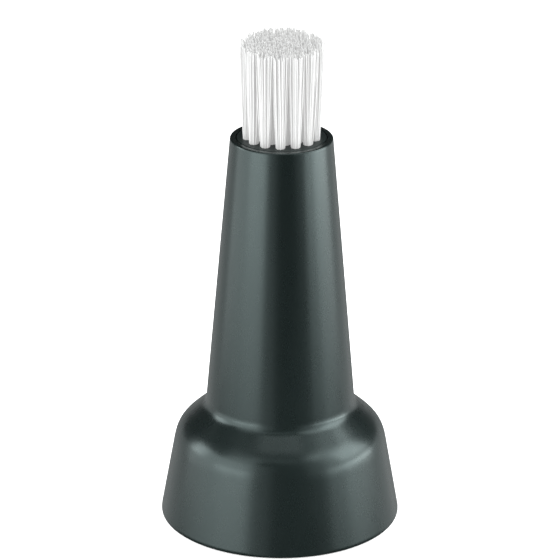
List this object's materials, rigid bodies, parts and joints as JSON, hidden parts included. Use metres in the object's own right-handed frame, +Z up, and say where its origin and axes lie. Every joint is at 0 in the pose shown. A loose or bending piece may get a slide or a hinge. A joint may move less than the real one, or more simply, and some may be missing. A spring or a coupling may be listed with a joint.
{
  "type": "detail cleaning brush head",
  "caption": "Tapered guard on a flared skirt, with a driven disc of white nylon tufts in its mouth and a hex drive socket inside the base.",
  "frame": {"origin": "centre of the skirt's rim, on the plane that the head stands on", "axes": "+Z up along the shaft, towards the bristles; +X runs through a key slot of the collar and the socket's cross pin"},
  "size_m": [0.0534, 0.0534, 0.1115],
  "materials": {
    "guard_plastic": "satin moulded plastic, dark green-grey",
    "adapter_plastic": "matt moulded glass-filled nylon, near black",
    "disc_plastic": "fine matt moulded plastic, dark green-grey",
    "white_nylon": "translucent white nylon filament",
    "bush_plastic": "natural acetal",
    "black_rubber": "matt nitrile rubber",
    "bright_steel": "ground steel",
    "spring_steel": "oiled spring steel",
    "zinc_steel": "zinc plated",
    "anchor_brass": "rolled strip",
    "socket_steel": "sintered steel, oiled"
  },
  "bodies": {
    "housing": {"guard_body": "guard_plastic", "tool_adapter": "adapter_plastic", "adapter_screws": "zinc_steel", "front_bush": "bush_plastic", "rear_bush": "bush_plastic", "nose_seal": "black_rubber", "thrust_washer": "bright_steel", "rear_washer": "bright_steel", "snap_ring": "spring_steel", "neck_seal": "black_rubber"},
    "spindle": {"brush_disc": "disc_plastic", "centre_tuft": "white_nylon", "inner_tufts": "white_nylon", "middle_tufts": "white_nylon", "outer_tufts": "white_nylon", "tuft_anchors": "anchor_brass", "drive_shaft": "bright_steel", "shaft_circlip": "spring_steel", "drive_socket": "socket_steel", "socket_pin": "spring_steel"}
  },
  "joints": [
    {"name": "brush_spin", "type": "hinge", "parent": "housing", "child": "spindle", "pos_m": [0, 0, 0.0896], "axis": [0, 0, 1], "continuous": true}
  ]
}
